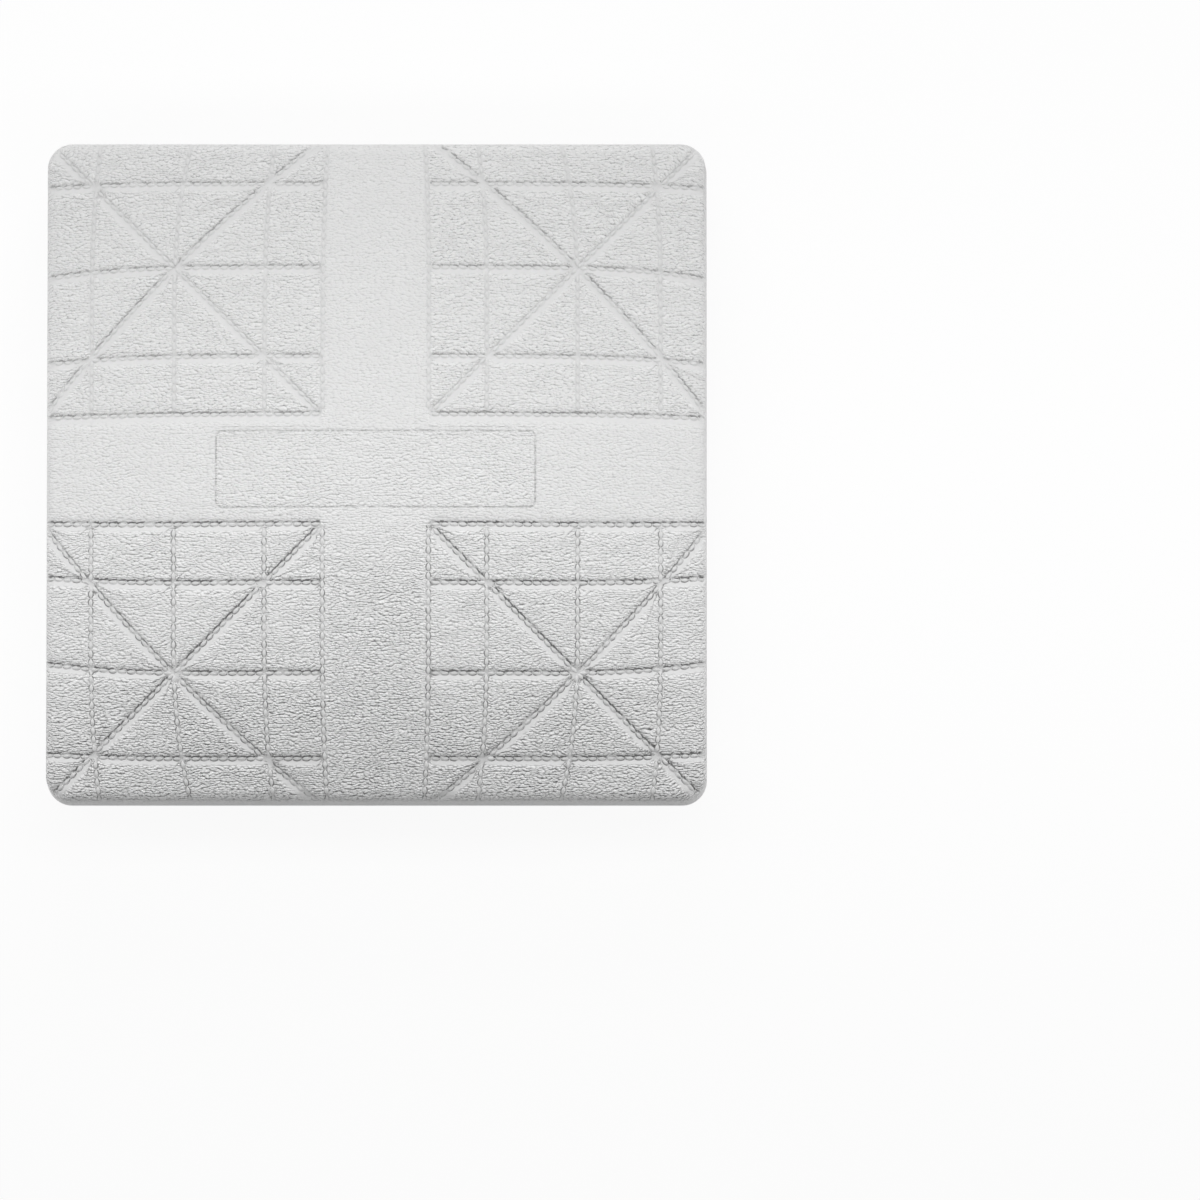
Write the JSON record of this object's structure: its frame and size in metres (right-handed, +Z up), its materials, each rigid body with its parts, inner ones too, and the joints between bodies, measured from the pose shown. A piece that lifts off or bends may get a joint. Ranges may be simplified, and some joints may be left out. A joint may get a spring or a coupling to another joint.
{
  "type": "baseball base",
  "caption": "Square moulded rubber baseball base with a crowned quilted top and bare centre panel, over a white ribbed tray whose underside carries round-tipped ground spikes.",
  "frame": {"origin": "middle of the square base, on the plane of the spike tips", "axes": "+Z up through the top face, X and Y along the sides, -Y towards the near side in the picture"},
  "size_m": [0.381, 0.381, 0.0825],
  "materials": {
    "grained_rubber": "matte grey-white moulded rubber with a pebbled grain",
    "smooth_white": "smooth satin white moulded rubber"
  },
  "bodies": {
    "root": {"cover": "grained_rubber", "tray": "smooth_white", "hub": "smooth_white", "cross_rib_east": "smooth_white", "cross_rib_north": "smooth_white", "cross_rib_west": "smooth_white", "cross_rib_south": "smooth_white", "ring_arc_east": "smooth_white", "ring_arc_north": "smooth_white", "ring_arc_west": "smooth_white", "ring_arc_south": "smooth_white", "outer_arc_east": "smooth_white", "outer_arc_north": "smooth_white", "outer_arc_west": "smooth_white", "outer_arc_south": "smooth_white", "stub_rib_east": "smooth_white", "stub_rib_north": "smooth_white", "stub_rib_west": "smooth_white", "stub_rib_south": "smooth_white", "diagonal_rib_north_east": "smooth_white", "diagonal_rib_north_west": "smooth_white", "diagonal_rib_south_west": "smooth_white", "diagonal_rib_south_east": "smooth_white", "ring_spike_north_east": "smooth_white", "ring_spike_north_west": "smooth_white", "ring_spike_south_west": "smooth_white", "ring_spike_south_east": "smooth_white", "corner_spike_north_east": "smooth_white", "corner_spike_north_west": "smooth_white", "corner_spike_south_west": "smooth_white", "corner_spike_south_east": "smooth_white"}
  },
  "joints": []
}
